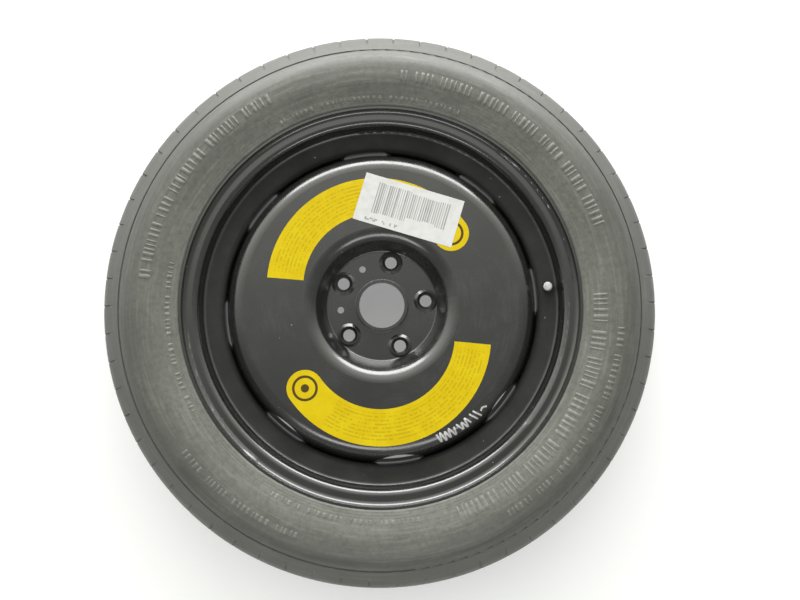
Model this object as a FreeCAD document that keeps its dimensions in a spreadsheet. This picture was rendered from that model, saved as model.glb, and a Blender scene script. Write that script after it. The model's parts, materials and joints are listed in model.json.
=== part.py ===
import FreeCAD, Part
import math
import os
from types import SimpleNamespace

import Sketcher

os.makedirs("parts", exist_ok=True)
doc = FreeCAD.newDocument("spare_wheel")

# Driving sizes, in millimetres and degrees.
# The wheel's axis is Z with the outer face up, and Z is 0 on the face that meets the hub.
# The valve, one bolt hole and one vent lie on +X.
SIZES = {
    # tyre
    "tyre_radius": 351.85,
    "section_width": 145.0,
    "crown_half_width": 14.0,
    "crown_round": 60.0,
    "tread_half_width": 40.0,
    "tread_drop": 7.0,
    "shoulder_round": 24.0,
    "shoulder_drop": 45.85,
    "lower_wall_share": 0.54,
    "wall_round_share": 0.59,
    "tread_thickness": 13.0,
    "wall_thickness": 9.5,
    "lip_reach": 1.5,
    "lip_round": 3.0,
    "bead_width": 17.0,
    "bead_height": 13.0,
    "tread_groove_spacing": 15.0,
    "tread_groove_width": 4.5,
    "tread_groove_depth": 5.0,
    "ring_groove_drop": 32.65,
    "ring_groove_round": 1.6,
    "slot_count": 62,
    "slot_width": 2.4,
    "slot_start": 24.0,
    "slot_end_drop": 25.85,
    "slot_overrun": 3.0,
    # rim
    "rim_offset": 21.0,
    "rim_width": 101.6,
    "rim_sheet": 2.8,
    "seat_radius": 228.6,
    "seat_taper": 5.0,
    "seat_length": 20.0,
    "flange_height": 18.5,
    "flange_reach": 10.0,
    "flange_round": 9.0,
    "heel_round": 4.5,
    "seat_end_round": 8.0,
    "well_depth": 30.6,
    "well_round": 6.0,
    "wall_slope": 15.0,
    "bead_fit": 0.3,
    # disc
    "disc_sheet": 4.0,
    "bore_radius": 28.55,
    "collar_top": 12.0,
    "collar_round": 5.5,
    "pad_radius": 72.0,
    "pad_round": 6.5,
    "crest_radius": 88.0,
    "crest_round": 16.0,
    "dish_height": 25.0,
    "dish_margin": 16.0,
    "dish_round": 16.0,
    "skirt_top": -6.0,
    "skirt_round": 12.0,
    "skirt_end": -28.0,
    "skirt_fit": 0.2,
    "vent_count": 8,
    "vent_depth": 12.0,
    "vent_round": 65.0,
    "bolt_count": 5,
    "bolt_circle": 112.0,
    "bolt_hole_radius": 7.5,
    "boss_radius": 15.0,
    "boss_height": 2.5,
    "seat_mouth_radius": 11.5,
    "ball_radius": 13.0,
    "locating_hole_radius": 4.2,
    "locating_circle": 105.0,
    "locating_angle": 112.0,
    "weld_length": 30.0,
    "weld_leg": 4.0,
    "weld_fit": 0.15,
    # valve, measured along its own axis from the outer face of the rim's wall
    "valve_drop": 15.6,
    "valve_hole_radius": 5.75,
    "valve_fit": 0.1,
    "bulb_radius": 9.2,
    "bulb_length": 13.0,
    "bulb_taper": 2.3,
    "collar_radius": 7.6,
    "collar_height": 1.8,
    "sleeve_radius": 5.2,
    "sleeve_length": 13.0,
    "sleeve_shoulder": 6.5,
    "stem_radius": 3.0,
    "stem_thread_radius": 3.85,
    "stem_length": 21.6,
    "stem_bore_radius": 1.55,
    "core_bore_radius": 2.65,
    "core_floor": 7.0,
    "core_radius": 2.55,
    "core_neck_radius": 1.8,
    "core_length": 13.2,
    "core_guide_radius": 1.0,
    "core_guide_length": 2.2,
    "spring_chamber_radius": 1.7,
    "pin_radius": 0.7,
    "pin_collar_radius": 1.4,
    "pin_cup_radius": 1.25,
    "wire_radius": 0.16,
    "spring_radius": 1.2,
    "spring_turns": 5,
    "cap_radius": 5.4,
    "cap_length": 11.0,
    "cap_top": 1.7,
    "cap_round": 0.85,
    "cap_gap": 0.25,
    "cap_seal_height": 1.05,
    "cap_seal_hole_radius": 1.4,
    # labels
    "label_thickness": 0.2,
    "arc_label_inner_radius": 91.2,
    "arc_label_outer_radius": 136.2,
    "arc_label_sweep": 139.5,
    "lower_label_x": -5.1,
    "lower_label_y": -37.1,
    "lower_label_turn": -11.5,
    "upper_label_x": -3.4,
    "upper_label_y": 23.0,
    "upper_label_turn": 169.2,
    "bar_label_length": 128.0,
    "bar_label_height": 61.0,
    "bar_label_x": 46.2,
    "bar_label_y": 114.0,
    "bar_label_turn": -22.8,
}


class Size:
    """A size held twice: as a number, and as the sheet expression that gives it."""

    def __init__(self, value, text):
        self.value = value
        self.text = text

    def joined(self, other, sign, value):
        return Size(value, f"({self.text} {sign} {sized(other).text})")

    def __add__(self, other):
        return self.joined(other, "+", self.value + sized(other).value)

    def __sub__(self, other):
        return self.joined(other, "-", self.value - sized(other).value)

    def __mul__(self, other):
        return self.joined(other, "*", self.value * sized(other).value)

    def __truediv__(self, other):
        return self.joined(other, "/", self.value / sized(other).value)

    def __neg__(self):
        return Size(-self.value, f"(0 - {self.text})")


def sized(value):
    return value if isinstance(value, Size) else Size(float(value), repr(float(value)))


def tangent(angle):
    return Size(math.tan(math.radians(angle.value)), f"tan({angle.text})")


def sine(angle):
    return Size(math.sin(math.radians(angle.value)), f"sin({angle.text})")


def cosine(angle):
    return Size(math.cos(math.radians(angle.value)), f"cos({angle.text})")


def leg(long_side, side):
    """The third side of a right triangle."""
    square = long_side * long_side - side * side
    return Size(math.sqrt(square.value), f"sqrt({square.text})")


def make_sheet():
    sheet = doc.addObject("Spreadsheet::Sheet", "Sizes")
    for row, (name, value) in enumerate(SIZES.items(), start=1):
        sheet.set(f"A{row}", name)
        sheet.set(f"B{row}", str(value))
        sheet.setAlias(f"B{row}", name)
    doc.recompute()
    return SimpleNamespace(**{name: Size(value, f"Sizes.{name}") for name, value in SIZES.items()})


d = make_sheet()


# Bodies, planes and sketches

def new_body(label):
    body = doc.addObject("PartDesign::Body", label)
    body.Label = label
    return body


def origin_part(body, role):
    return next(part for part in body.Origin.OriginFeatures if part.Role == role)


def new_sketch(body, name, plane="XZ_Plane"):
    sketch = body.newObject("Sketcher::SketchObject", name)
    sketch.AttachmentSupport = [(origin_part(body, plane), "")]
    sketch.MapMode = "FlatFace"
    return sketch


def bind(thing, prop, size):
    thing.setExpression(prop, sized(size).text)


def fix(sketch, kind, places, size):
    """Adds one measured constraint and ties it to the sheet."""
    index = sketch.addConstraint(Sketcher.Constraint(kind, *places, sized(size).value))
    bind(sketch, f"Constraints[{index}]", size)


def fix_point(sketch, geometry, end, x, y):
    for kind, axis, size in (("DistanceX", -2, sized(x)), ("DistanceY", -1, sized(y))):
        if abs(size.value) < 1e-9:
            sketch.addConstraint(Sketcher.Constraint("PointOnObject", geometry, end, axis))
        else:
            fix(sketch, kind, (-1, 1, geometry, end), size)


def corner_round(before, corner, after, radius):
    """The arc that rounds one corner, and the points where it leaves the two lines."""
    back = (before - corner).normalize()
    ahead = (after - corner).normalize()
    half = back.getAngle(ahead) / 2
    reach = radius / math.tan(half)
    start = corner + back * reach
    finish = corner + ahead * reach
    centre = corner + (back + ahead).normalize() * (radius / math.sin(half))
    return SimpleNamespace(start=start, finish=finish, centre=centre, radius=radius)


def add_arc(sketch, arc):
    """Adds an arc and says which of its ends is the start and which the finish."""
    begin = math.atan2(arc.start.y - arc.centre.y, arc.start.x - arc.centre.x)
    close = math.atan2(arc.finish.y - arc.centre.y, arc.finish.x - arc.centre.x)
    forward = (close - begin) % (2 * math.pi) < math.pi
    first, last = (begin, close) if forward else (close, begin)
    if last < first:
        last += 2 * math.pi
    circle = Part.Circle(arc.centre, FreeCAD.Vector(0, 0, 1), arc.radius)
    geometry = sketch.addGeometry(Part.ArcOfCircle(circle, first, last), False)
    return SimpleNamespace(geometry=geometry, start=1 if forward else 2, finish=2 if forward else 1)


def vectors(corners):
    return [FreeCAD.Vector(sized(x).value, sized(y).value, 0) for x, y, _ in corners]


def draw_path(sketch, corners, closed):
    """Draws lines through the corners, each rounded by its own radius, and ties them to the sheet."""
    points = vectors(corners)
    count = len(points)
    rounds = []
    for i, (_, _, radius) in enumerate(corners):
        inner = closed or 0 < i < count - 1
        if radius and inner:
            rounds.append(corner_round(points[i - 1], points[i], points[(i + 1) % count], radius.value))
        else:
            rounds.append(None)
    lines = []
    for i in range(count if closed else count - 1):
        j = (i + 1) % count
        start = rounds[i].finish if rounds[i] else points[i]
        finish = rounds[j].start if rounds[j] else points[j]
        lines.append(sketch.addGeometry(Part.LineSegment(start, finish), False))
    arcs = [add_arc(sketch, arc) if arc else None for arc in rounds]
    for i, (x, y, radius) in enumerate(corners):
        into = lines[i - 1] if closed or i > 0 else None
        out = lines[i] if i < len(lines) else None
        if arcs[i]:
            arc = arcs[i]
            mark = sketch.addGeometry(Part.Point(points[i]), True)
            sketch.addConstraint([
                Sketcher.Constraint("Tangent", into, 2, arc.geometry, arc.start),
                Sketcher.Constraint("Tangent", arc.geometry, arc.finish, out, 1),
                Sketcher.Constraint("PointOnObject", mark, 1, into),
                Sketcher.Constraint("PointOnObject", mark, 1, out),
            ])
            fix_point(sketch, mark, 1, x, y)
            fix(sketch, "Radius", (arc.geometry,), radius)
            continue
        if into is not None and out is not None:
            sketch.addConstraint(Sketcher.Constraint("Coincident", into, 2, out, 1))
        if out is not None:
            fix_point(sketch, out, 1, x, y)
        else:
            fix_point(sketch, into, 2, x, y)
    return SimpleNamespace(points=points, rounds=rounds, lines=lines, arcs=arcs)


def draw_sheet(sketch, corners, thickness):
    """Draws the section of a bent sheet: a path, and the same path one thickness to its left."""
    path = draw_path(sketch, corners, closed=False)
    points, rounds = path.points, path.rounds
    sides = []
    for a, b in zip(points, points[1:]):
        along = (b - a).normalize()
        sides.append(FreeCAD.Vector(-along.y, along.x, 0) * thickness.value)
    lines = []
    for i, side in enumerate(sides):
        start = rounds[i].finish if rounds[i] else points[i]
        finish = rounds[i + 1].start if rounds[i + 1] else points[i + 1]
        lines.append(sketch.addGeometry(Part.LineSegment(start + side, finish + side), False))
        sketch.addConstraint(Sketcher.Constraint("Parallel", path.lines[i], lines[i]))
    for i in range(1, len(points) - 1):
        start = rounds[i].start + sides[i - 1]
        radius = start.distanceToPoint(rounds[i].centre)
        arc = add_arc(sketch, SimpleNamespace(start=start, finish=rounds[i].finish + sides[i],
                                              centre=rounds[i].centre, radius=radius))
        sketch.addConstraint([
            Sketcher.Constraint("Tangent", lines[i - 1], 2, arc.geometry, arc.start),
            Sketcher.Constraint("Tangent", arc.geometry, arc.finish, lines[i], 1),
            Sketcher.Constraint("Coincident", arc.geometry, 3, path.arcs[i].geometry, 3),
        ])
    for end, line, edge, side in ((1, path.lines[0], lines[0], sides[0]),
                                  (2, path.lines[-1], lines[-1], sides[-1])):
        point = points[0] if end == 1 else points[-1]
        cap = sketch.addGeometry(Part.LineSegment(point, point + side), False)
        sketch.addConstraint([
            Sketcher.Constraint("Coincident", cap, 1, line, end),
            Sketcher.Constraint("Coincident", cap, 2, edge, end),
            Sketcher.Constraint("Perpendicular", cap, line),
        ])
        if end == 1:
            fix(sketch, "Distance", (cap,), thickness)


# Features

def add_feature(body, kind, name, sketch):
    feature = body.newObject(f"PartDesign::{kind}", name)
    feature.Profile = sketch
    sketch.Visibility = False
    return feature


def revolve(body, sketch, name, kind="Revolution", axis="V_Axis"):
    feature = add_feature(body, kind, name, sketch)
    feature.ReferenceAxis = (sketch, [axis])
    feature.Angle = 360
    return feature


def pattern(body, name, originals, count):
    feature = body.newObject("PartDesign::PolarPattern", name)
    feature.Originals = originals
    feature.Axis = (origin_part(body, "Z_Axis"), [""])
    feature.Angle = 360
    bind(feature, "Occurrences", count)
    body.Tip = feature
    return feature


def cut_through(body, sketch, name):
    feature = add_feature(body, "Pocket", name, sketch)
    feature.Type = "ThroughAll"
    feature.Midplane = True
    return feature


def turned(label, corners):
    """A piece turned about its own Z axis from one closed section of (radius, height, round)."""
    body = new_body(label)
    sketch = new_sketch(body, f"{label}_section")
    draw_path(sketch, corners, closed=True)
    revolve(body, sketch, f"{label}_turned")
    return body


# Places that several pieces share

half_rim = d.rim_width / 2
half_section = d.section_width / 2
flange_top = d.seat_radius + d.flange_height
upper_wall = d.tyre_radius - d.shoulder_drop
wall_height = upper_wall - flange_top
well_radius = d.seat_radius - d.well_depth
dish_radius = well_radius - d.dish_margin
valve_radius = d.seat_radius - d.valve_drop
seat_end = half_rim - d.seat_length
seat_end_radius = d.seat_radius - d.seat_length * tangent(d.seat_taper)
well_outer = well_radius + d.rim_sheet
well_end = seat_end - (seat_end_radius - well_outer) * tangent(d.wall_slope)
plateau = d.dish_height + d.disc_sheet
skirt_radius = well_radius - d.skirt_fit
valve_base = (
    seat_end - (seat_end_radius - valve_radius) * tangent(d.wall_slope)
    + d.rim_sheet / cosine(d.wall_slope) - d.rim_offset
)


def across(distance):
    """Height of a point given by its distance from the rim's middle plane."""
    return sized(distance) - d.rim_offset


def mirrored(half):
    """Adds the other side of a half section that runs from the middle plane outward and back."""
    other = [(radius, -height, rounding) for radius, height, rounding in reversed(half)]
    return [(radius, across(height), rounding) for radius, height, rounding in half + other]


# Tyre

def make_tyre():
    body = new_body("tyre")
    sketch = new_sketch(body, "tyre_section")
    lip_radius = flange_top + d.bead_fit
    bead_face = half_rim - d.bead_fit
    bead_toe = bead_face - d.bead_width
    base_radius = d.seat_radius + d.bead_fit
    inner_crown = d.tyre_radius - d.tread_thickness
    inner_wall = half_section - d.wall_thickness
    lower_wall = flange_top + wall_height * d.lower_wall_share
    wall_round = wall_height * d.wall_round_share
    inner_round = wall_round - d.wall_thickness
    draw_path(sketch, mirrored([
        (d.tyre_radius, d.crown_half_width, d.crown_round),
        (d.tyre_radius - d.tread_drop, d.tread_half_width, d.shoulder_round),
        (upper_wall, half_section, wall_round),
        (lower_wall, half_section, wall_round),
        (lip_radius, half_rim + d.flange_reach + d.lip_reach, d.lip_round),
        (lip_radius, bead_face, d.flange_round + d.bead_fit),
        (base_radius, bead_face, d.heel_round - d.bead_fit),
        (base_radius - d.bead_width * tangent(d.seat_taper), bead_toe, None),
        (base_radius + d.bead_height, bead_toe + d.lip_round, None),
        (lower_wall, inner_wall, inner_round),
        (upper_wall, inner_wall, inner_round),
        (inner_crown - d.tread_drop, d.tread_half_width - d.lip_round, d.shoulder_round - d.lip_round),
        (inner_crown, d.crown_half_width, d.crown_round),
    ]), closed=True)
    revolve(body, sketch, "carcass")
    cut_tread_grooves(body)
    cut_ring_grooves(body)
    cut_shoulder_slots(body)
    return body


def shoulder_height(drop):
    """Distance from the middle plane to the straight shoulder, at a drop below the crown."""
    lean = (half_section - d.tread_half_width) / (d.shoulder_drop - d.tread_drop)
    return d.tread_half_width + (drop - d.tread_drop) * lean


def cut_tread_grooves(body):
    sketch = new_sketch(body, "tread_groove_section")
    half_width = d.tread_groove_width / 2
    floor = d.tyre_radius - d.tread_groove_depth
    for step in (-1, 0, 1):
        middle = d.tread_groove_spacing * step
        draw_path(sketch, [
            (floor, across(middle - half_width), None),
            (d.tyre_radius + d.tread_groove_depth, across(middle - half_width), None),
            (d.tyre_radius + d.tread_groove_depth, across(middle + half_width), None),
            (floor, across(middle + half_width), None),
        ], closed=True)
    revolve(body, sketch, "tread_grooves", "Groove")


def cut_ring_grooves(body):
    sketch = new_sketch(body, "ring_groove_section")
    radius = d.tyre_radius - d.ring_groove_drop
    height = shoulder_height(d.ring_groove_drop)
    for place in (across(height), across(-height)):
        centre = FreeCAD.Vector(radius.value, place.value, 0)
        circle = Part.Circle(centre, FreeCAD.Vector(0, 0, 1), d.ring_groove_round.value)
        ring = sketch.addGeometry(circle, False)
        fix_point(sketch, ring, 3, radius, place)
        fix(sketch, "Radius", (ring,), d.ring_groove_round)
    revolve(body, sketch, "ring_grooves", "Groove")


def cut_shoulder_slots(body):
    """Straight saw cuts across both rounded shoulders, repeated all round."""
    sketch = new_sketch(body, "slot_section")
    clear = shoulder_height(d.slot_end_drop) + d.slot_overrun
    fall = d.tread_drop / (d.tread_half_width - d.crown_half_width)
    start_radius = d.tyre_radius - (d.slot_start - d.crown_half_width) * fall
    for side in (1, -1):
        draw_path(sketch, [
            (start_radius + d.slot_overrun / 2, across(d.slot_start * side), None),
            (d.tyre_radius - d.slot_end_drop, across(clear * side), None),
            (d.tyre_radius + d.slot_overrun, across(clear * side), None),
        ], closed=True)
    slots = add_feature(body, "Pocket", "slot_pair", sketch)
    slots.Midplane = True
    bind(slots, "Length", d.slot_width)
    pattern(body, "shoulder_slots", [slots], d.slot_count)


# Wheel

def make_rim():
    body = new_body("wheel_rim")
    sketch = new_sketch(body, "rim_section")
    half = [
        (flange_top, half_rim + d.flange_reach, None),
        (flange_top, half_rim, d.flange_round),
        (d.seat_radius, half_rim, d.heel_round),
        (seat_end_radius, seat_end, d.seat_end_round),
        (well_outer, well_end, d.well_round),
    ]
    inboard = [(radius, across(-height), rounding) for radius, height, rounding in half]
    outboard = [(radius, across(height), rounding) for radius, height, rounding in reversed(half)]
    draw_sheet(sketch, inboard + outboard, d.rim_sheet)
    revolve(body, sketch, "rolled_rim")
    hole = body.newObject("PartDesign::SubtractiveCylinder", "valve_hole")
    bind(hole, "Radius", d.valve_hole_radius)
    bind(hole, "Height", d.rim_sheet * 6)
    place_on_valve_axis(hole, d.rim_sheet * -3)
    body.Tip = hole
    return body


def make_disc():
    body = new_body("wheel_disc")
    sketch = new_sketch(body, "disc_section")
    draw_sheet(sketch, [
        (d.bore_radius, d.collar_top, None),
        (d.bore_radius, sized(0), d.collar_round),
        (d.pad_radius, sized(0), d.pad_round),
        (d.crest_radius, d.dish_height, d.crest_round),
        (dish_radius, d.dish_height, d.dish_round),
        (skirt_radius - d.disc_sheet, d.skirt_top, d.skirt_round),
        (skirt_radius - d.disc_sheet, d.skirt_end, None),
    ], d.disc_sheet)
    revolve(body, sketch, "pressed_dish")
    cut_vents(body)
    raise_bolt_seats(body)
    cut_locating_holes(body)
    return body


def cut_circle(body, name, x, y, radius):
    sketch = new_sketch(body, f"{name}_outline", "XY_Plane")
    centre = FreeCAD.Vector(sized(x).value, sized(y).value, 0)
    circle = sketch.addGeometry(Part.Circle(centre, FreeCAD.Vector(0, 0, 1), radius.value), False)
    fix_point(sketch, circle, 3, x, y)
    fix(sketch, "Radius", (circle,), radius)
    return cut_through(body, sketch, name)


def cut_vents(body):
    vent = cut_circle(body, "vent", well_radius - d.vent_depth + d.vent_round, 0, d.vent_round)
    pattern(body, "vents", [vent], d.vent_count)


def raise_bolt_seats(body):
    """Domed bosses on the hub pad, each with a ball seat and a bolt hole."""
    middle = d.bolt_circle / 2
    top = d.disc_sheet + d.boss_height
    root_height = d.disc_sheet / 2
    boss = new_sketch(body, "boss_section")
    draw_path(boss, [
        (middle, root_height, None),
        (middle + d.boss_radius, root_height, None),
        (middle + d.boss_radius, d.disc_sheet, None),
        (middle + d.seat_mouth_radius, top, None),
        (middle, top, None),
    ], closed=True)
    raised = revolve_about_bolt(body, boss, "boss", "Revolution", middle)
    seat = new_sketch(body, "seat_section")
    ball_height = top + leg(d.ball_radius, d.seat_mouth_radius)
    seat_floor = ball_height - leg(d.ball_radius, d.bolt_hole_radius)
    draw_seat(seat, middle, top, seat_floor, ball_height)
    cut = revolve_about_bolt(body, seat, "bolt_seat", "Groove", middle)
    pattern(body, "bolt_seats", [raised, cut], d.bolt_count)


def draw_seat(sketch, middle, top, seat_floor, ball_height):
    """Half section of a bolt hole that opens into part of a ball."""
    below = -d.disc_sheet
    corners = [
        (middle, top), (middle, below), (middle + d.bolt_hole_radius, below),
        (middle + d.bolt_hole_radius, seat_floor), (middle + d.seat_mouth_radius, top),
    ]
    points = [FreeCAD.Vector(x.value, sized(y).value, 0) for x, y in corners]
    lines = [sketch.addGeometry(Part.LineSegment(a, b), False) for a, b in zip(points, points[1:4])]
    centre = FreeCAD.Vector(middle.value, ball_height.value, 0)
    arc = add_arc(sketch, SimpleNamespace(start=points[3], finish=points[4], centre=centre,
                                          radius=d.ball_radius.value))
    lid = sketch.addGeometry(Part.LineSegment(points[4], points[0]), False)
    sketch.addConstraint([
        Sketcher.Constraint("Coincident", lines[0], 2, lines[1], 1),
        Sketcher.Constraint("Coincident", lines[1], 2, lines[2], 1),
        Sketcher.Constraint("Coincident", lines[2], 2, arc.geometry, arc.start),
        Sketcher.Constraint("Coincident", arc.geometry, arc.finish, lid, 1),
        Sketcher.Constraint("Coincident", lid, 2, lines[0], 1),
    ])
    for line, (x, y) in zip(lines, corners):
        fix_point(sketch, line, 1, x, y)
    fix_point(sketch, lines[2], 2, *corners[3])
    fix_point(sketch, lid, 1, *corners[4])
    fix(sketch, "Radius", (arc.geometry,), d.ball_radius)


def revolve_about_bolt(body, sketch, name, kind, middle):
    low = FreeCAD.Vector(middle.value, -d.disc_sheet.value, 0)
    high = FreeCAD.Vector(middle.value, d.dish_height.value, 0)
    axis = sketch.addGeometry(Part.LineSegment(low, high), True)
    fix_point(sketch, axis, 1, middle, -d.disc_sheet)
    fix_point(sketch, axis, 2, middle, d.dish_height)
    return revolve(body, sketch, name, kind, "Axis0")


def cut_locating_holes(body):
    reach = d.locating_circle / 2
    angle = d.locating_angle
    cut_circle(body, "near_locating_hole", reach * cosine(angle), reach * sine(angle), d.locating_hole_radius)
    cut_circle(body, "far_locating_hole", -reach, 0, d.locating_hole_radius)


def make_welds():
    """Short fillet welds that join the skirt's end to the rim's well, one on each land."""
    body = new_body("disc_welds")
    body.AllowCompound = True
    sketch = new_sketch(body, "weld_section")
    outer = well_radius - d.weld_fit
    top = d.skirt_end - d.weld_fit
    draw_path(sketch, [
        (outer - d.weld_leg, top, None),
        (outer, top, None),
        (outer, top - d.weld_leg, None),
    ], closed=True)
    weld = revolve(body, sketch, "weld")
    turn = d.weld_length / well_radius * (180 / math.pi)
    bind(weld, "Angle", turn)
    pattern(body, "welds", [weld], d.vent_count)
    body.Placement.Rotation = FreeCAD.Rotation(FreeCAD.Vector(0, 0, 1), 1)
    bind(body, "Placement.Rotation.Angle", sized(180) / d.vent_count - turn / 2)
    return body


# Valve

def place_on_valve_axis(thing, along=None):
    """Stands a piece on the valve's axis, which leans toward the wheel's middle."""
    thing.Placement = FreeCAD.Placement(
        FreeCAD.Vector(valve_radius.value, 0, valve_base.value),
        FreeCAD.Rotation(FreeCAD.Vector(0, -1, 0), d.wall_slope.value),
    )
    shift = sized(0) if along is None else along
    bind(thing, "Placement.Base.x", valve_radius - shift * sine(d.wall_slope))
    bind(thing, "Placement.Base.z", valve_base + shift * cosine(d.wall_slope))
    bind(thing, "Placement.Rotation.Angle", d.wall_slope)


core_top = d.core_floor + d.core_length
cap_bottom = d.stem_length + d.valve_fit + d.cap_seal_height + d.valve_fit + d.cap_top - d.cap_length
cap_roof = cap_bottom + d.cap_length - d.cap_top


def make_valve_sleeve():
    neck = d.valve_hole_radius - d.valve_fit
    wall_back = -d.rim_sheet - d.valve_fit
    bore = d.stem_radius + d.valve_fit / 2
    return turned("valve_sleeve", [
        (bore, -d.bulb_length, None),
        (d.bulb_radius - d.bulb_taper, -d.bulb_length, None),
        (d.bulb_radius, wall_back - d.collar_height, d.collar_height / 2),
        (d.bulb_radius - d.collar_height / 2, wall_back, None),
        (neck, wall_back, None),
        (neck, d.valve_fit, None),
        (d.collar_radius, d.valve_fit, None),
        (d.collar_radius, d.collar_height, None),
        (d.sleeve_radius, d.sleeve_shoulder, d.collar_height),
        (d.sleeve_radius, d.sleeve_length, None),
        (bore, d.sleeve_length, None),
    ])


def make_valve_stem():
    return turned("valve_stem", [
        (d.stem_bore_radius, d.valve_fit - d.bulb_length, None),
        (d.stem_radius, d.valve_fit - d.bulb_length, None),
        (d.stem_radius, d.sleeve_length + d.valve_fit, None),
        (d.stem_thread_radius, d.sleeve_length + d.valve_fit, None),
        (d.stem_thread_radius, d.stem_length, None),
        (d.core_bore_radius, d.stem_length, None),
        (d.core_bore_radius, d.core_floor, None),
        (d.stem_bore_radius, d.core_floor - d.core_bore_radius + d.stem_bore_radius, None),
    ])


def make_core_body():
    low = d.core_floor + d.valve_fit * 2
    neck_end = low + d.core_guide_length
    chamber_low = neck_end + d.core_guide_length
    chamber_high = core_top - d.core_guide_length
    return turned("core_body", [
        (d.core_guide_radius, low, None),
        (d.core_neck_radius, low, None),
        (d.core_neck_radius, neck_end, None),
        (d.core_radius, neck_end, None),
        (d.core_radius, core_top, None),
        (d.core_guide_radius, core_top, None),
        (d.core_guide_radius, chamber_high, None),
        (d.spring_chamber_radius, chamber_high, None),
        (d.spring_chamber_radius, chamber_low, None),
        (d.core_guide_radius, chamber_low, None),
    ])


def make_core_seal():
    low = d.core_floor + d.valve_fit * 3
    high = low + d.core_guide_length - d.valve_fit * 2
    return turned("core_seal", [
        (d.core_neck_radius + d.valve_fit / 2, low, None),
        (d.core_bore_radius - d.valve_fit / 2, low, None),
        (d.core_bore_radius - d.valve_fit / 2, high, None),
        (d.core_neck_radius + d.valve_fit / 2, high, None),
    ])


def make_core_pin():
    cup_top = d.core_floor - d.pin_radius
    collar_top = core_top - d.core_guide_length - d.valve_fit
    collar_low = collar_top - d.pin_radius
    pin_top = d.stem_length - d.pin_radius / 2
    return turned("core_pin", [
        (sized(0), cup_top - d.pin_radius, None),
        (d.pin_cup_radius, cup_top - d.pin_radius, None),
        (d.pin_cup_radius, cup_top, None),
        (d.pin_radius, cup_top, None),
        (d.pin_radius, collar_low, None),
        (d.pin_collar_radius, collar_low, None),
        (d.pin_collar_radius, collar_top, None),
        (d.pin_radius, collar_top, None),
        (d.pin_radius, pin_top, None),
        (sized(0), pin_top, None),
    ])


def make_pin_seal():
    low = d.core_floor - d.pin_radius + d.valve_fit / 4
    high = d.core_floor + d.valve_fit
    return turned("pin_seal", [
        (d.pin_radius + d.valve_fit / 4, low, None),
        (d.pin_cup_radius, low, None),
        (d.pin_cup_radius, high, None),
        (d.pin_radius + d.valve_fit / 4, high, None),
    ])


def make_core_spring():
    body = new_body("core_spring")
    low = d.core_floor + d.valve_fit * 3 + d.core_guide_length * 2 + d.wire_radius
    high = core_top - d.core_guide_length - d.valve_fit * 2 - d.pin_radius - d.wire_radius
    sketch = new_sketch(body, "wire_section")
    turns = [math.radians(step * 60) for step in range(6)]
    draw_path(sketch, [
        (d.spring_radius + d.wire_radius * math.cos(turn), low + d.wire_radius * math.sin(turn), None)
        for turn in turns
    ], closed=True)
    coil = add_feature(body, "AdditiveHelix", "coil", sketch)
    coil.ReferenceAxis = (sketch, ["V_Axis"])
    coil.Mode = "height-turns-angle"
    bind(coil, "Height", high - low)
    bind(coil, "Turns", d.spring_turns)
    return body


def make_cap_seal():
    low = d.stem_length + d.valve_fit
    return turned("cap_seal", [
        (d.cap_seal_hole_radius, low, None),
        (d.stem_thread_radius, low, None),
        (d.stem_thread_radius, low + d.cap_seal_height, None),
        (d.cap_seal_hole_radius, low + d.cap_seal_height, None),
    ])


def make_valve_cap():
    bore = d.stem_thread_radius + d.cap_gap
    return turned("valve_cap", [
        (bore, cap_bottom, None),
        (d.cap_radius, cap_bottom, None),
        (d.cap_radius, cap_roof + d.cap_top, d.cap_round),
        (sized(0), cap_roof + d.cap_top, None),
        (sized(0), cap_roof, None),
        (bore, cap_roof, None),
    ])


def make_valve():
    makers = (make_valve_sleeve, make_valve_stem, make_core_body, make_core_seal, make_core_pin,
              make_pin_seal, make_core_spring, make_cap_seal, make_valve_cap)
    pieces = [make() for make in makers]
    for piece in pieces:
        place_on_valve_axis(piece)
    return pieces


# Labels

def lay_on_plateau(body, x, y, height, turn):
    body.Placement.Rotation = FreeCAD.Rotation(FreeCAD.Vector(0, 0, 1), 1)
    bind(body, "Placement.Base.x", x)
    bind(body, "Placement.Base.y", y)
    bind(body, "Placement.Base.z", height)
    bind(body, "Placement.Rotation.Angle", turn)


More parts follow.
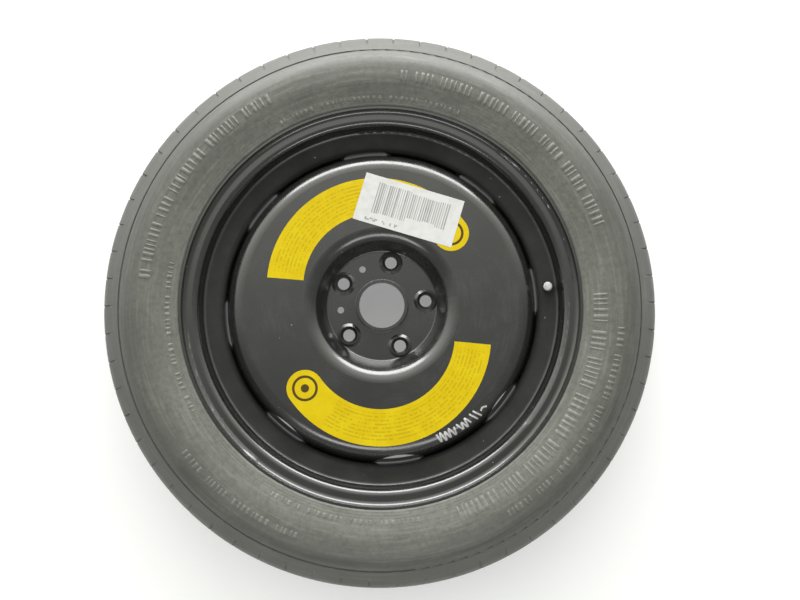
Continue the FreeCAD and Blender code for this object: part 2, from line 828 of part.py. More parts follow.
def make_arc_label(label, x, y, turn):
    """A curved band with one square end and one round end, stuck on the dish."""
    body = new_body(label)
    sketch = new_sketch(body, f"{label}_outline", "XY_Plane")
    inner, outer = d.arc_label_inner_radius, d.arc_label_outer_radius
    sweep = math.radians(d.arc_label_sweep.value)
    middle = (inner + outer) / 2
    axis = FreeCAD.Vector(0, 0, 1)
    nothing = FreeCAD.Vector(0, 0, 0)
    direction = FreeCAD.Vector(math.cos(-sweep), math.sin(-sweep), 0)
    rims = [sketch.addGeometry(Part.ArcOfCircle(Part.Circle(nothing, axis, r.value), -sweep, 0), False)
            for r in (inner, outer)]
    head_circle = Part.Circle(direction * middle.value, axis, (outer.value - inner.value) / 2)
    head = sketch.addGeometry(Part.ArcOfCircle(head_circle, math.pi - sweep, 2 * math.pi - sweep), False)
    square = sketch.addGeometry(Part.LineSegment(FreeCAD.Vector(inner.value, 0, 0),
                                                 FreeCAD.Vector(outer.value, 0, 0)), False)
    ray = sketch.addGeometry(Part.LineSegment(nothing, direction * middle.value), True)
    sketch.addConstraint([
        Sketcher.Constraint("Coincident", rims[0], 3, -1, 1),
        Sketcher.Constraint("Coincident", rims[1], 3, -1, 1),
        Sketcher.Constraint("Coincident", square, 1, rims[0], 2),
        Sketcher.Constraint("Coincident", square, 2, rims[1], 2),
        Sketcher.Constraint("PointOnObject", square, 1, -1),
        Sketcher.Constraint("PointOnObject", square, 2, -1),
        Sketcher.Constraint("Tangent", head, 1, rims[0], 1),
        Sketcher.Constraint("Tangent", head, 2, rims[1], 1),
        Sketcher.Constraint("Coincident", ray, 1, -1, 1),
        Sketcher.Constraint("Coincident", ray, 2, head, 3),
    ])
    fix(sketch, "Radius", (rims[0],), inner)
    fix(sketch, "Radius", (rims[1],), outer)
    index = sketch.addConstraint(Sketcher.Constraint("Angle", -1, 1, ray, 1, -sweep))
    bind(sketch, f"Constraints[{index}]", -d.arc_label_sweep)
    pad = add_feature(body, "Pad", f"{label}_film", sketch)
    bind(pad, "Length", d.label_thickness)
    lay_on_plateau(body, x, y, plateau, turn)
    return body


def make_bar_label():
    body = new_body("bar_label")
    sketch = new_sketch(body, "bar_label_outline", "XY_Plane")
    half_length, half_height = d.bar_label_length / 2, d.bar_label_height / 2
    draw_path(sketch, [
        (-half_length, -half_height, None), (half_length, -half_height, None),
        (half_length, half_height, None), (-half_length, half_height, None),
    ], closed=True)
    pad = add_feature(body, "Pad", "bar_label_film", sketch)
    bind(pad, "Length", d.label_thickness)
    lay_on_plateau(body, d.bar_label_x, d.bar_label_y, plateau + d.label_thickness, d.bar_label_turn)
    return body


def write_parts(pieces):
    doc.recompute()
    for thing in doc.Objects:
        if "Invalid" in thing.State or "Error" in thing.State:
            raise RuntimeError(f"{thing.Label} did not build: {thing.State}")
    for piece in pieces:
        if piece.Shape.isNull() or not piece.Shape.isValid():
            raise RuntimeError(f"{piece.Label} has no valid shape")
        piece.Shape.exportStep(f"parts/{piece.Label}.step")


write_parts([
    make_tyre(),
    make_rim(),
    make_disc(),
    make_welds(),
    *make_valve(),
    make_arc_label("lower_label", d.lower_label_x, d.lower_label_y, d.lower_label_turn),
    make_arc_label("upper_label", d.upper_label_x, d.upper_label_y, d.upper_label_turn),
    make_bar_label(),
])
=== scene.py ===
import json
import math
import random

import bmesh
import bpy
from mathutils import Matrix, Vector
from mathutils.bvhtree import BVHTree


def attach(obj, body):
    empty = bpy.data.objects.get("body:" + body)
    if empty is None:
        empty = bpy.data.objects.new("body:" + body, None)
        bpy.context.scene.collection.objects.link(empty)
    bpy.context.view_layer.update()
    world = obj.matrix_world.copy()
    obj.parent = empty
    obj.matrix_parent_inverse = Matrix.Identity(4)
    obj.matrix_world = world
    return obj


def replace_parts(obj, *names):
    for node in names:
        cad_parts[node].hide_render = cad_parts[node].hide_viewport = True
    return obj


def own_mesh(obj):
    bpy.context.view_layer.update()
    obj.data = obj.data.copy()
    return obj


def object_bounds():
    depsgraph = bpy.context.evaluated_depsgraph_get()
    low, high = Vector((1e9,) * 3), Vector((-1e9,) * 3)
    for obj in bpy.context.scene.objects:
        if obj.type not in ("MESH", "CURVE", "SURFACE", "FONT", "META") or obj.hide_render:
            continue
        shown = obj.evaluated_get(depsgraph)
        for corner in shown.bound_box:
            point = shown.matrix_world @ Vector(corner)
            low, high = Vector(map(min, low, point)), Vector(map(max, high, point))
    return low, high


MM = 0.001
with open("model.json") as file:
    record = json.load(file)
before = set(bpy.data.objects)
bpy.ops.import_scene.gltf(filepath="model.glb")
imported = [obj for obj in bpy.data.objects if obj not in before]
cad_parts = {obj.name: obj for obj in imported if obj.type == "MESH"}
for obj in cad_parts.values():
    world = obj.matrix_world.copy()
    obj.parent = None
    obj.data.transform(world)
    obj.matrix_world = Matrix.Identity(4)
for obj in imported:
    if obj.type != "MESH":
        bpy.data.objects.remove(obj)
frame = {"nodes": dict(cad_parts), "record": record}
cad_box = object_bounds()

# Angle between the photograph's level line and the wheel's valve
PHOTO_TURN = math.radians(-6.3)
PHOTO_FRAME = Matrix.Rotation(PHOTO_TURN, 4, "Z")

# How far the valve leans towards the wheel's axis
VALVE_LEAN = math.radians(15)

# The point that each label is drawn about, x and y in millimetres, and its turn in degrees
LOWER_LABEL = (-5.1, -37.1, -11.5)
UPPER_LABEL = (-3.4, 23.0, 169.2)
BAR_LABEL = (46.2, 114.0, -22.8)

# How far the bars on the sidewalls stand out, and how far their edges are sunk into the rubber
BAR_RISE = 0.5 * MM
BAR_SINK = 0.3 * MM

# How olive the tyre's greys are
RUBBER_OLIVE = 0.12

# Colours of the curved labels: the film, the film where it is worn, its small print and its sign
FILM_YELLOW = (0.55, 0.4, 0.003, 1)
WORN_YELLOW = (0.6, 0.455, 0.004, 1)
FILM_PRINT = (0.16, 0.11, 0.01, 1)
FILM_SIGN = (0.07, 0.045, 0.015, 1)

BRIGHT_BRASS = (0.74, 0.55, 0.24, 1)
DULL_BRASS = (0.5, 0.36, 0.15, 1)


# Node trees

class Nodes:
    """A node tree, with a short method for each kind of node that it needs."""

    def __init__(self, tree):
        self.tree = tree

    def node(self, kind, inputs=None, **settings):
        """Makes a node with its settings, then feeds its inputs."""
        made = self.tree.nodes.new(kind)
        for name, value in settings.items():
            setattr(made, name, value)
        for name, value in (inputs or {}).items():
            self.feed(made.inputs[name], value)
        return made

    def feed(self, socket, value):
        """Links another node's output to a socket, or sets the socket's own value."""
        if isinstance(value, bpy.types.NodeSocket):
            self.tree.links.new(value, socket)
        else:
            socket.default_value = value

    def calc(self, operation, *values):
        return self.node("ShaderNodeMath", dict(enumerate(values)), operation=operation).outputs[0]

    def product(self, first, *others):
        for other in others:
            first = self.calc("MULTIPLY", first, other)
        return first

    def vector(self, operation, *vectors, output="Vector"):
        made = self.node("ShaderNodeVectorMath", dict(enumerate(vectors)), operation=operation)
        return made.outputs[output]

    def scaled(self, vector, factor):
        inputs = {0: vector, "Scale": factor}
        return self.node("ShaderNodeVectorMath", inputs, operation="SCALE").outputs["Vector"]

    def split(self, vector):
        return self.node("ShaderNodeSeparateXYZ", {0: vector}).outputs

    def join(self, x, y, z=0.0):
        return self.node("ShaderNodeCombineXYZ", {0: x, 1: y, 2: z}).outputs[0]

    def reach(self, place):
        """A place's distance from the upright axis."""
        x, y, _ = self.split(place)
        return self.vector("LENGTH", self.join(x, y), output="Value")

    def bearing(self, place):
        """A place's angle about the upright axis, in radians."""
        x, y, _ = self.split(place)
        return self.calc("ARCTAN2", y, x)

    def noise(self, vector, scale, detail=2.0, roughness=0.5):
        inputs = {"Vector": vector, "Scale": scale, "Detail": detail, "Roughness": roughness}
        return self.node("ShaderNodeTexNoise", inputs).outputs["Fac"]

    def speck(self, vector):
        """One random number for each whole-number cell."""
        cell = self.vector("FLOOR", vector)
        return self.node("ShaderNodeTexWhiteNoise", {"Vector": cell}).outputs["Value"]

    def span(self, value, low, high, start=0.0, end=1.0):
        """Maps low..high to start..end with soft ends."""
        inputs = {"Value": value, "From Min": low, "From Max": high, "To Min": start, "To Max": end}
        return self.node("ShaderNodeMapRange", inputs, interpolation_type="SMOOTHSTEP").outputs[0]

    def band(self, value, low, high, soft):
        """1 between low and high and 0 beyond them, with soft edges."""
        rise = self.span(value, low - soft, low + soft)
        fall = self.span(value, high - soft, high + soft, 1.0, 0.0)
        return self.product(rise, fall)

    def blend(self, share, first, second):
        """A colour between two, by the second one's share."""
        mix = self.node("ShaderNodeMix", data_type="RGBA")
        for name, value in (("Factor_Float", share), ("A_Color", first), ("B_Color", second)):
            socket = next(s for s in mix.inputs if s.identifier == name)
            self.feed(socket, value)
        return next(s for s in mix.outputs if s.identifier == "Result_Color")

    def bump(self, height, depth, normal=None):
        """Relief of a height given as 0 to 1, with its depth in millimetres."""
        inputs = {"Height": height, "Distance": depth * MM, "Strength": 1.0}
        if normal is not None:
            inputs["Normal"] = normal
        return self.node("ShaderNodeBump", inputs).outputs[0]


class Paint(Nodes):
    """A material's nodes: its surface shader, and places on the object in millimetres."""

    def __init__(self, name):
        self.material = bpy.data.materials.new(name)
        self.material.use_nodes = True
        super().__init__(self.material.node_tree)
        self.shader = self.tree.nodes["Principled BSDF"]
        self.place = self.scaled(self.node("ShaderNodeTexCoord").outputs["Object"], 1 / MM)

    def set(self, **values):
        """Feeds the surface shader; a name's underscores stand for spaces."""
        for name, value in values.items():
            self.feed(self.shader.inputs[name.replace("_", " ")], value)

    def place_about(self, x, y, turn):
        """The place as seen from x, y, with the axes turned by some degrees."""
        moved = self.vector("SUBTRACT", self.place, (x, y, 0.0))
        inputs = {"Vector": moved, "Angle": -math.radians(turn)}
        return self.node("ShaderNodeVectorRotate", inputs, rotation_type="Z_AXIS").outputs[0]

    def drawn_round(self, stretch):
        """A place for noise whose marks are drawn out round the wheel's axis."""
        x, y, _ = self.split(self.place)
        way = self.vector("NORMALIZE", self.join(x, y))
        ring_x, ring_y, _ = self.split(self.scaled(way, stretch))
        return self.join(ring_x, ring_y, self.reach(self.place))


def grey(value, olive=0.0):
    """A grey, made olive by a little more green and less blue."""
    return (value, value * (1 + olive / 5), value * (1 - olive), 1.0)


# Materials
# Radii and heights are in millimetres from the wheel's middle, and noise scales are per millimetre

def tyre_rubber(name, dust):
    """Black rubber under a grey bloom, with painted shade on the tread and in the shoulder's groove; dust
    is the share of fine dust on its faces.
    """
    paint = Paint(name)
    radius = paint.reach(paint.place)
    bloom = paint.noise(paint.place, 0.016, detail=6.0, roughness=0.65)
    grain = paint.noise(paint.place, 0.9, detail=3.0)
    tread = paint.span(radius, 285.0, 335.0)
    mottled = dusty_rubber(paint, radius, bloom, dust)
    grainy = paint.blend(paint.span(grain, 0.3, 0.75, 0.0, 0.35), mottled, grey(0.07))
    # Painted shade: the tread and shoulder are darkened towards the outer edge, standing in for the shade
    # on the outer sidewall.
    worn_and_shaded = paint.blend(paint.product(tread, 0.45), grainy, grey(0.045, RUBBER_OLIVE))
    # Painted shade: a darker band along the shoulder's ring groove.
    groove_shade = paint.product(paint.band(radius, 317.0, 321.5, 2.5), 0.4)
    paint.set(Base_Color=paint.blend(groove_shade, worn_and_shaded, grey(0.03, RUBBER_OLIVE)))
    paint.set(Roughness=paint.span(bloom, 0.3, 0.7, 0.4, 0.55))
    paint.set(Specular_IOR_Level=paint.span(tread, 0.0, 1.0, 0.5, 0.65))
    paint.set(Normal=paint.bump(grain, 0.12, paint.bump(bead_ribs(paint, radius), 0.06)))
    return paint.material


def dusty_rubber(paint, radius, bloom, dust):
    """A mottled grey with dust that is swept round the tyre and lies thickest near the rim."""
    mottle = paint.noise(paint.place, 0.16, detail=5.0, roughness=0.7)
    swept = paint.noise(paint.drawn_round(16.0), 0.3, detail=4.0)
    clean = paint.blend(paint.span(bloom, 0.35, 0.68), grey(0.068, RUBBER_OLIVE), grey(0.098, RUBBER_OLIVE))
    sheltered = paint.span(radius, 255.0, 330.0, 0.38, 0.0)
    settled = paint.calc("ADD", paint.span(swept, 0.45, 0.75, dust, dust + 0.35), sheltered)
    dusty = paint.blend(settled, clean, grey(0.22, RUBBER_OLIVE))
    return paint.blend(paint.span(mottle, 0.4, 0.7, 0.0, 0.5), dusty, grey(0.06, RUBBER_OLIVE))


def bead_ribs(paint, radius):
    """The height of the fine ribs that run round the tyre just outside the rim."""
    rib_pitch = 3.4
    ribs = paint.calc("SINE", paint.product(radius, 2 * math.pi / rib_pitch))
    return paint.product(ribs, paint.band(radius, 249.0, 258.0, 1.0))


def black_paint():
    """Glossy black with small chips, hazed by dust."""
    paint = Paint("black_paint")
    haze = paint.noise(paint.place, 0.02, detail=5.0, roughness=0.6)
    peel = paint.noise(paint.place, 0.55, detail=1.0)
    chips = paint.span(paint.noise(paint.place, 0.2, detail=1.0), 0.8, 0.83)
    dust = wheel_dust(paint, haze)
    hazed = paint.blend(dust, grey(0.011, 0.1), grey(0.025, 0.08))
    shine = paint.span(haze, 0.3, 0.75, 0.18, 0.28)
    paint.set(Base_Color=paint.blend(chips, hazed, grey(0.3)))
    paint.set(Roughness=paint.calc("ADD", shine, paint.product(dust, 0.45)))
    paint.set(IOR=1.8, Specular_IOR_Level=paint.span(dust, 0.3, 1.0, 0.5, 0.1))
    paint.set(Coat_Weight=paint.span(dust, 0.0, 0.8, 0.6, 0.0), Coat_Roughness=0.15)
    paint.set(Normal=paint.bump(peel, 0.035))
    return paint.material


def wheel_dust(paint, haze):
    """The share of dust: smears on the dish, and more in the rim's groove and on the brake's side."""
    radius = paint.reach(paint.place)
    height = paint.split(paint.place)[2]
    wiped = paint.noise(paint.drawn_round(14.0), 0.45, detail=3.0)
    on_dish = paint.span(radius, 222.0, 232.0, 1.0, 0.0)
    smears = paint.product(paint.span(wiped, 0.35, 0.7, 0.0, 0.3), on_dish)
    patches = paint.product(paint.span(haze, 0.4, 0.75), smears)
    brake_side = paint.span(height, -14.0, -4.0, 1.0, 0.0)
    rim_groove = paint.band(radius, 199.0, 222.0, 3.0)
    sheltered = paint.calc("MAXIMUM", brake_side, rim_groove)
    settled = paint.product(sheltered, paint.span(haze, 0.2, 0.8, 0.75, 1.0))
    return paint.calc("MAXIMUM", patches, settled)


def yellow_film(name, x, y, turn):
    """A printed film whose rows of small dashes follow its curve, with a wheel sign on its head."""
    paint = Paint(name)
    turned = paint.place_about(x, y, turn)
    wear = paint.noise(paint.place, 0.05, detail=6.0, roughness=0.65)
    ripple = paint.noise(paint.place, 0.06, detail=3.0)
    ground = paint.blend(paint.span(wear, 0.35, 0.7), FILM_YELLOW, WORN_YELLOW)
    printed = paint.blend(paint.product(film_rows(paint, turned), 0.3), ground, FILM_PRINT)
    paint.set(Base_Color=paint.blend(wheel_sign(paint, turned), printed, FILM_SIGN))
    paint.set(Roughness=paint.span(wear, 0.3, 0.7, 0.36, 0.5), Specular_IOR_Level=0.15)
    paint.set(Normal=paint.bump(ripple, 0.25))
    return paint.material


def film_rows(paint, turned):
    """Rows of small dashes along a curved label, grouped like words."""
    first_row, row_pitch = 94.0, 4.6
    dashes_per_radian, words_per_radian = 72.0, 9.0
    radius = paint.reach(turned)
    angle = paint.bearing(turned)
    row = paint.calc("DIVIDE", paint.calc("SUBTRACT", radius, first_row), row_pitch)
    in_row = paint.band(paint.calc("FRACT", row), 0.22, 0.62, 0.06)
    dash_place = paint.join(paint.product(angle, dashes_per_radian), row)
    dashes = paint.span(paint.speck(dash_place), 0.28, 0.3)
    word_place = paint.join(paint.product(angle, words_per_radian), paint.calc("FLOOR", row))
    words = paint.span(paint.noise(word_place, 1.3), 0.36, 0.4)
    across_film = paint.band(radius, 96.0, 132.0, 0.4)
    along_film = paint.band(angle, math.radians(-118), math.radians(-4), 0.01)
    return paint.product(in_row, across_film, along_film, dashes, words)


def wheel_sign(paint, turned):
    """A plain ring with a dot, on the round head of a curved label."""
    head_angle = math.radians(-139.5)
    head_radius = 113.7
    centre = (head_radius * math.cos(head_angle), head_radius * math.sin(head_angle), 0.0)
    reach = paint.reach(paint.vector("SUBTRACT", turned, centre))
    ring = paint.band(reach, 12.6, 15.8, 0.25)
    dot = paint.span(reach, 4.8, 5.4, 1.0, 0.0)
    return paint.calc("MAXIMUM", ring, dot)


def white_paper():
    """A creased paper label, printed with upright bars and a line of short dashes."""
    paint = Paint("white_paper")
    along, across, _ = paint.split(paint.place_about(*BAR_LABEL))
    ink = paint.calc("MAXIMUM", bar_field(paint, along, across), caption_dashes(paint, along, across))
    worn_and_shaded = paint.noise(paint.place, 0.12, detail=5.0)
    creased = paint.noise(paint.join(paint.product(along, 0.4), across), 0.09, detail=2.0)
    ground = paint.blend(paint.span(worn_and_shaded, 0.35, 0.75), grey(0.58, 0.02), grey(0.52, 0.03))
    faded = paint.product(ink, paint.span(worn_and_shaded, 0.2, 0.7, 0.85, 0.6))
    paint.set(Base_Color=paint.blend(faded, ground, grey(0.16)))
    paint.set(Roughness=paint.span(worn_and_shaded, 0.3, 0.7, 0.5, 0.65))
    paint.set(Normal=paint.bump(creased, 0.3))
    return paint.material


def bar_field(paint, along, across):
    """Upright bars of uneven width, in groups of uneven height."""
    bars_per_mm, groups_per_mm, group_seed = 0.36, 0.055, 7.0
    count = paint.product(along, bars_per_mm)
    width = paint.span(paint.speck(paint.join(count, 0.0)), 0.0, 1.0, 0.25, 0.75)
    bars = paint.calc("LESS_THAN", paint.calc("FRACT", count), width)
    group = paint.speck(paint.join(paint.product(along, groups_per_mm), group_seed))
    above_foot = paint.calc("GREATER_THAN", across, paint.span(group, 0.0, 1.0, -17.0, -9.0))
    below_top = paint.calc("LESS_THAN", across, paint.span(group, 0.0, 1.0, 23.5, 20.0))
    return paint.product(bars, paint.band(along, -46.0, 50.0, 0.2), above_foot, below_top)


def caption_dashes(paint, along, across):
    """A line of short dashes under the bars."""
    dashes_per_mm, rows_per_mm = 0.5, 0.4
    cells = paint.join(paint.product(along, dashes_per_mm), paint.product(across, rows_per_mm))
    dashes = paint.span(paint.speck(cells), 0.55, 0.57)
    return paint.product(dashes, paint.band(along, -50.0, -8.0, 0.2), paint.band(across, -27.0, -23.0, 0.2))


def soft_rubber(name, tone):
    """Dark rubber with a cloudy surface, for the valve and its seals."""
    paint = Paint(name)
    cloud = paint.noise(paint.place, 0.15, detail=4.0)
    grain = paint.noise(paint.place, 3.0, detail=2.0)
    colour = paint.blend(paint.span(cloud, 0.35, 0.7), grey(tone), grey(tone * 1.9, 0.03))
    paint.set(Base_Color=colour, Roughness=paint.span(cloud, 0.3, 0.7, 0.42, 0.6))
    paint.set(Normal=paint.bump(grain, 0.05))
    return paint.material


def turned_metal(name, bright, dull, pitch):
    """Metal with fine turning marks along the valve's axis."""
    paint = Paint(name)
    axis = (-math.sin(VALVE_LEAN), 0.0, math.cos(VALVE_LEAN))
    height = paint.vector("DOT_PRODUCT", paint.place, axis, output="Value")
    marks = paint.calc("SINE", paint.product(height, 2 * math.pi / pitch))
    stain = paint.noise(paint.place, 0.4, detail=5.0)
    colour = paint.blend(paint.span(stain, 0.4, 0.7), bright, dull)
    paint.set(Base_Color=colour, Roughness=paint.span(stain, 0.3, 0.7, 0.24, 0.42), Metallic=1.0)
    paint.set(Normal=paint.bump(marks, 0.12))
    return paint.material


def cap_plastic():
    """Pale grey plastic with scuffs."""
    paint = Paint("cap_plastic")
    speckle = paint.noise(paint.place, 2.2, detail=3.0)
    scuffed = paint.noise(paint.place, 0.35, detail=5.0, roughness=0.65)
    colour = paint.blend(paint.span(scuffed, 0.4, 0.7), grey(0.36), grey(0.5, 0.02))
    paint.set(Base_Color=colour, Roughness=paint.span(scuffed, 0.3, 0.7, 0.35, 0.55))
    paint.set(Normal=paint.bump(speckle, 0.05))
    return paint.material


def chalk_pen():
    """White pen that covers unevenly."""
    paint = Paint("chalk_pen")
    patchy = paint.noise(paint.place, 0.5, detail=5.0, roughness=0.7)
    colour = paint.blend(paint.span(patchy, 0.35, 0.65), grey(0.72, 0.01), grey(0.4, 0.01))
    paint.set(Base_Color=colour, Roughness=paint.span(patchy, 0.3, 0.7, 0.6, 0.8))
    paint.set(Normal=paint.bump(patchy, 0.05))
    return paint.material


def dress(material, *names):
    """Gives the named solids a material."""
    for name in names:
        mesh = frame["nodes"][name].data
        mesh.materials.clear()
        mesh.materials.append(material)


# Pieces added to the solids

def surface_of(name):
    return BVHTree.FromObject(frame["nodes"][name], bpy.context.evaluated_depsgraph_get())


def drop_on(surface, radius, angle, side):
    """Where a line parallel to the wheel's axis meets a surface, from above (1) or below (-1)."""
    clear_height = 0.3
    start = Vector((radius * math.cos(angle), radius * math.sin(angle), clear_height * side))
    point, normal, _, _ = surface.ray_cast(start, Vector((0, 0, -side)))
    return point, normal


def joint_named(name):
    return next(j for j in frame["record"]["behaviour"]["joints"] if j["name"] == name)


def new_piece(name, mesh, material, body="wheel"):
    """Turns a bmesh into a named piece that rides on a body."""
    data = bpy.data.meshes.new(name)
    mesh.to_mesh(data)
    mesh.free()
    for polygon in data.polygons:
        polygon.use_smooth = True
    data.materials.append(material)
    piece = bpy.data.objects.new(name, data)
    bpy.context.scene.collection.objects.link(piece)
    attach(piece, body)
    return piece


def add_grid(mesh, points):
    """Adds a sheet of quads through rows of points."""
    rows = [[mesh.verts.new(point) for point in row] for row in points]
    for low, high in zip(rows, rows[1:]):
        for i in range(len(low) - 1):
            mesh.faces.new((low[i], low[i + 1], high[i + 1], high[i]))


def add_raised_bar(mesh, surface, side, radius, angle, tall, wide):
    """One plain raised bar moulded on a sidewall, its edge sunk a little into the rubber."""
    bevel = 0.7 * MM
    half = tall / 2
    radii = [-half, -half + bevel, -half / 3, half / 3, half - bevel, half]
    sides = [-wide / 2, -wide / 2 + bevel, wide / 2 - bevel, wide / 2]
    points = []
    for i, offset in enumerate(radii):
        row = []
        for j, shift in enumerate(sides):
            point, normal = drop_on(surface, radius + offset, angle + shift / radius, side)
            at_edge = i in (0, len(radii) - 1) or j in (0, len(sides) - 1)
            row.append(point + normal * (-BAR_SINK if at_edge else BAR_RISE))
        points.append(row)
    add_grid(mesh, points)


# Rows of moulded bars: start and end angle in degrees, radius and height in millimetres,
# and the least and greatest width of a bar
SIDEWALL_ROWS = [
    (113, 169, 287, 14, (2.5, 6)),
    (14, 80, 283, 15, (2.5, 6)),
    (-76, -3, 267, 17, (2.5, 6)),
    (-65, -12, 292, 9, (2, 5)),
    (-149, -116, 292, 9, (2, 5)),
    (-126, -86, 261, 6, (2, 5)),
    (163, 204, 259, 6, (2, 5)),
    (62, 114, 256, 6, (2, 5)),
]


def moulded_bars(side):
    """Rows of plain raised bars on one sidewall, in groups of uneven length."""
    bar_gap, group_gap = 2.6, 9.0
    group_sizes = (4, 9)
    chance = random.Random(7)
    surface = surface_of("tyre")
    mesh = bmesh.new()
    for start, end, radius, tall, widths in SIDEWALL_ROWS:
        angle = math.radians(start)
        left_in_group = chance.randint(*group_sizes)
        while angle < math.radians(end):
            wide = chance.uniform(*widths)
            add_raised_bar(mesh, surface, side, radius * MM, angle * side, tall * MM, wide * MM)
            gap = bar_gap
            left_in_group -= 1
            if left_in_group == 0:
                gap = group_gap
                left_in_group = chance.randint(*group_sizes)
            angle += (wide + gap) / radius
    return mesh


# Strokes of a paint pen, each a line of points in millimetres: along the wheel's edge,
# and away from its middle
PEN_STROKES = [
    [(-36, -5), (-33, 6), (-31, -5), (-27, 7), (-25, -4), (-21, 6), (-19, -5), (-14, 6), (-12, -4)],
    [(-8, -5), (-3, 5), (-1, -3), (3, 6), (5, -5), (9, 4)],
    [(13, -6), (18, 6)],
    [(19, -6), (24, 6)],
    [(27, 1), (31, -1), (36, 2)],
]


def smooth_line(points, steps=10):
    """A smooth curve through points, with a number of short steps from each to the next."""
    line = []
    ends = [points[0]] + points + [points[-1]]
    for i in range(1, len(ends) - 2):
        p0, p1, p2, p3 = (Vector(p) for p in ends[i - 1:i + 3])
        for step in range(steps):
            t = step / steps
            line.append(0.5 * (2 * p1 + (p2 - p0) * t + (2 * p0 - 5 * p1 + 4 * p2 - p3) * t ** 2
                               + (3 * p1 - p0 - 3 * p2 + p3) * t ** 3))
    line.append(Vector(points[-1]))
    return line


def pen_strokes():
    """Loose pen strokes on the dish, between a label and the vents."""
    middle_angle = math.radians(-62)
    middle_radius = 178.0
    half_width = 1.1
    ink_heights = {-1: 0.04, 0: 0.12, 1: 0.04}
    surface = surface_of("wheel_disc")
    mesh = bmesh.new()
    for stroke in PEN_STROKES:
        line = smooth_line(stroke)
        points = []
        for i, point in enumerate(line):
            ahead = line[min(i + 1, len(line) - 1)] - line[max(i - 1, 0)]
            sideways = Vector((-ahead.y, ahead.x)).normalized() * half_width
            row = []
            for share, height in ink_heights.items():
                along, away = point + sideways * share
                turn = middle_angle + along / middle_radius
                spot, normal = drop_on(surface, (middle_radius + away) * MM, turn, 1)
                row.append(spot + normal * height * MM)
            points.append(row)
        add_grid(mesh, points)
    return mesh


# Outline of the valve cap, from its open foot to its top: radius and height in millimetres
CAP_OUTLINE = [
    (4.1, 0.0), (5.1, 0.0), (5.38, 0.3), (5.38, 1.3), (5.1, 1.6), (5.1, 1.8), (5.38, 2.2),
    (5.38, 9.6), (5.1, 10.2), (4.9, 10.3), (4.6, 10.75), (4.0, 11.0), (0.9, 11.0), (0.0, 10.9),
]


def ribbed_cap():
    """The valve cap: a hollow turned shape whose grip is cut into ribs."""
    ribs, steps_per_rib = 20, 6
    grip_foot, grip_top, rib_depth = 2.0, 10.0, 0.32
    joint_above_foot = 6.45
    around = ribs * steps_per_rib
    lean = Matrix.Rotation(-VALVE_LEAN, 4, "Y")
    foot = Vector(joint_named("cap_turn")["pos_m"]) + lean @ Vector((0, 0, -joint_above_foot * MM))
    mesh = bmesh.new()
    points = []
    for radius, height in CAP_OUTLINE:
        on_grip = grip_foot < height < grip_top
        row = []
        for step in range(around + 1):
            turn = 2 * math.pi * step / around
            between_ribs = step % steps_per_rib in (0, 1)
            reach = radius - rib_depth if on_grip and between_ribs else radius
            spot = Vector((reach * math.cos(turn), reach * math.sin(turn), height))
            row.append(foot + lean @ (spot * MM))
        points.append(row)
    add_grid(mesh, points)
    bmesh.ops.remove_doubles(mesh, verts=mesh.verts, dist=1e-6)
    return mesh


def pressed_spring(steel):
    """The valve core's spring, copied into a piece of its own that takes the solid's place."""
    mesh = bmesh.new()
    mesh.from_mesh(frame["nodes"]["core_spring"].data)
    spring = new_piece("pressed_spring", mesh, steel)
    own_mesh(spring)
    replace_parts(spring, "core_spring")


# Stage

def seen(nodes):
    """A value that is 1 for rays that show the background: camera, glossy and transmission rays."""
    path = nodes.node("ShaderNodeLightPath").outputs
    mirrored = nodes.calc("MAXIMUM", path["Is Glossy Ray"], path["Is Transmission Ray"])
    return nodes.calc("MAXIMUM", path["Is Camera Ray"], mirrored)


def make_floor():
    """A wide pale floor just clear of the lowest bars, which shows whiter than it is lit."""
    bpy.ops.mesh.primitive_plane_add(size=80, location=(0, 0, cad_box[0].z - 1.1 * BAR_RISE))
    floor = bpy.context.object
    floor.name = "floor"
    paint = Paint("pale_floor")
    mottle = paint.noise(paint.place, 0.003, detail=4.0)
    glow = paint.span(paint.reach(paint.place), 500.0, 1500.0, 0.3, 0.8)
    paint.set(Base_Color=paint.blend(mottle, grey(0.68), grey(0.72)), Roughness=0.8)
    paint.set(Emission_Color=grey(0.9), Emission_Strength=paint.product(seen(paint), glow))
    floor.data.materials.append(paint.material)


def make_world():
    """A pale dome, brighter on the window's side and along the horizon."""
    world = bpy.data.worlds.new("studio")
    world.use_nodes = True
    bpy.context.scene.world = world
    sky = Nodes(world.node_tree)
    way = sky.node("ShaderNodeTexCoord").outputs["Generated"]
    window_way = PHOTO_FRAME @ Vector((-0.15, 0.98, 0))
    towards = sky.vector("DOT_PRODUCT", way, window_way, output="Value")
    side = sky.span(towards, -0.15, 0.75, 0.32, 1.9)
    low = sky.span(sky.split(way)[2], 0.0, 0.15, 0.45, 0.0)
    background = world.node_tree.nodes["Background"]
    sky.feed(background.inputs["Color"], grey(1.0, 0.05))
    sky.feed(background.inputs["Strength"], sky.calc("ADD", side, low))


def make_lamp(name, place, size, power):
    """A rectangular soft lamp, placed in the photograph's frame and aimed at the wheel's middle."""
    lamp = bpy.data.lights.new(name, "AREA")
    lamp.shape = "RECTANGLE"
    lamp.size, lamp.size_y = size
    lamp.energy = power
    holder = bpy.data.objects.new(name, lamp)
    bpy.context.scene.collection.objects.link(holder)
    holder.location = PHOTO_FRAME @ Vector(place)
    holder.rotation_euler = (-holder.location).to_track_quat("-Z", "Y").to_euler()


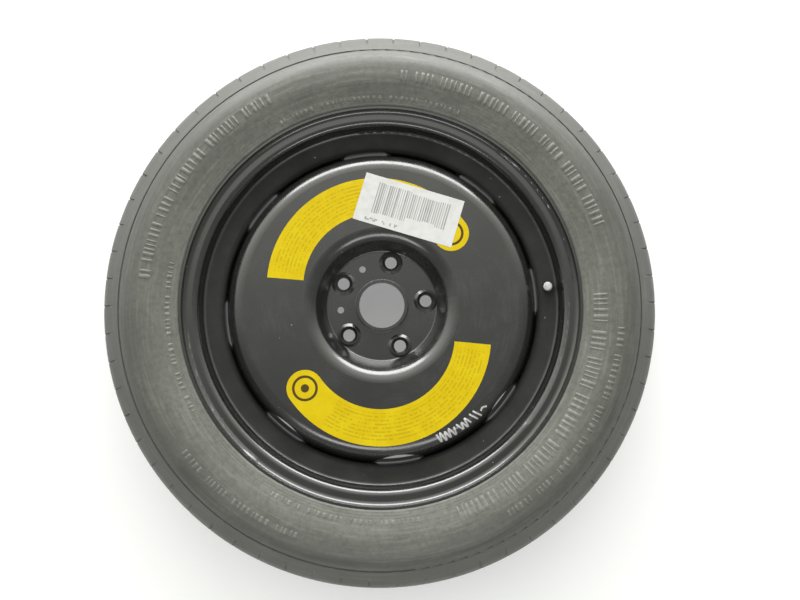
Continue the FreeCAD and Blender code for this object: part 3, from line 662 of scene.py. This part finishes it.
def make_camera():
    """The photograph's view: from above, a little below the wheel's middle and tilted up to it."""
    camera = bpy.data.cameras.new("camera")
    camera.lens = 32.4
    camera.sensor_width = 36.0
    camera.clip_start = 0.02
    camera.clip_end = 50.0
    holder = bpy.data.objects.new("camera", camera)
    bpy.context.scene.collection.objects.link(holder)
    place = Matrix.Translation(Vector((3.4, -62.2, 917.3)) * MM)
    tilt = Matrix.Rotation(math.radians(-4.35), 4, "X")
    swing = Matrix.Rotation(math.radians(1.23), 4, "Y")
    holder.matrix_world = PHOTO_FRAME @ place @ (tilt @ swing).transposed()
    bpy.context.scene.camera = holder


def build_tyre():
    """The tyre and the bars moulded on its sidewalls."""
    dress(tyre_rubber("tyre_rubber", dust=0.0), "tyre")
    raised = tyre_rubber("raised_rubber", dust=0.3)
    new_piece("outer_moulded_bars", moulded_bars(1), raised)
    new_piece("inner_moulded_bars", moulded_bars(-1), raised)


def build_wheel():
    """The steel wheel with its labels and pen strokes."""
    dress(black_paint(), "wheel_rim", "wheel_disc", "disc_welds")
    dress(yellow_film("lower_film", *LOWER_LABEL), "lower_label")
    dress(yellow_film("upper_film", *UPPER_LABEL), "upper_label")
    dress(white_paper(), "bar_label")
    new_piece("pen_strokes", pen_strokes(), chalk_pen())


def build_valve():
    """The valve, its core, and the two pieces that stand for its cap and spring."""
    brass = turned_metal("brass", BRIGHT_BRASS, DULL_BRASS, pitch=0.79)
    steel = turned_metal("spring_steel", grey(0.62), grey(0.42, 0.03), pitch=0.4)
    cap = cap_plastic()
    dress(soft_rubber("valve_rubber", 0.025), "valve_sleeve")
    dress(soft_rubber("seal_rubber", 0.045), "core_seal", "pin_seal", "cap_seal")
    dress(brass, "valve_stem", "core_body", "core_pin")
    dress(steel, "core_spring")
    dress(cap, "valve_cap")
    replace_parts(new_piece("ribbed_cap", ribbed_cap(), cap, "cap"), "valve_cap")
    pressed_spring(steel)


def build_stage():
    """Floor, surroundings, lamps and camera."""
    bpy.context.scene.view_settings.view_transform = "Standard"
    make_floor()
    make_world()
    make_lamp("window", place=(0.0, 1.5, 0.52), size=(2.2, 0.9), power=42.0)
    make_lamp("room", place=(0.0, -1.1, 1.1), size=(1.6, 0.4), power=7.0)
    make_camera()


build_tyre()
build_wheel()
build_valve()
build_stage()
